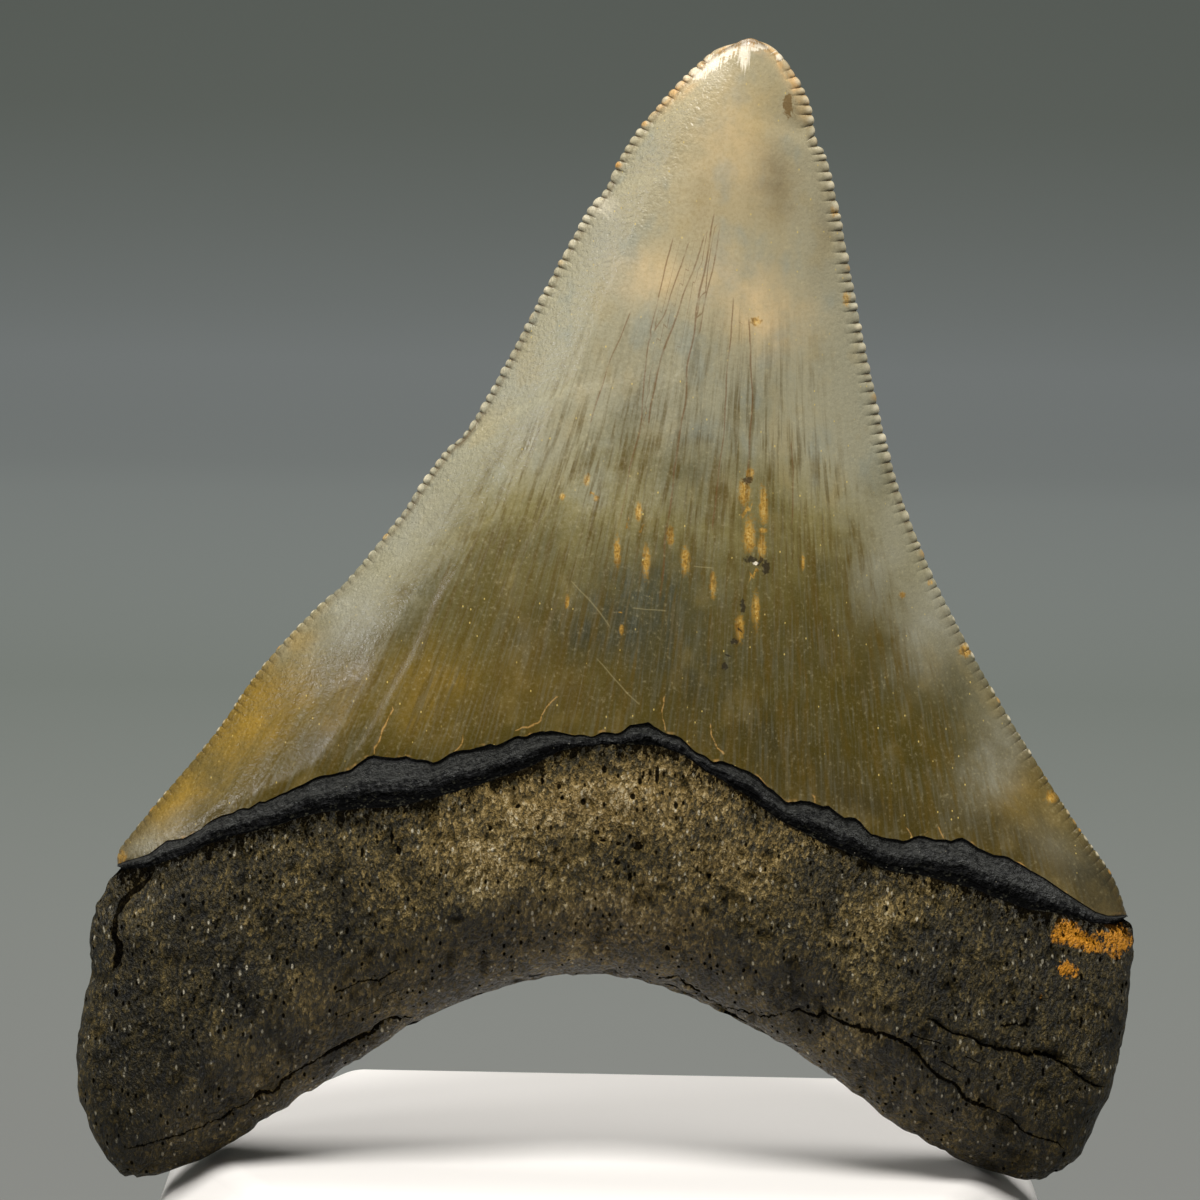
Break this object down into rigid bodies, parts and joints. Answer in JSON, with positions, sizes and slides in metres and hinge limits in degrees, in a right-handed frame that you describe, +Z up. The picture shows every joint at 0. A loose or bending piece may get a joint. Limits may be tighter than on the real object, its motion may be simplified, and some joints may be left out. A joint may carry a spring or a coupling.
{
  "type": "fossil megalodon tooth on a stand",
  "caption": "Fossil shark tooth with a serrated crown, dark collar and two-lobed root, standing upright on a low white faceted stand for display.",
  "frame": {"origin": "middle of the flat underside of the stand", "axes": "+Z up from the root to the tip of the tooth, +Y towards the back, so that the collared face looks along -Y, and +X to the right of that face"},
  "size_m": [0.0929, 0.0694, 0.1283],
  "materials": {
    "tooth": "fossil enamel in greys and browns with a satin gloss, over a dark, finely fibrous matt root",
    "stand": "smooth warm white with softened edges"
  },
  "bodies": {
    "root": {"tooth": "tooth", "stand": "stand"}
  },
  "joints": []
}
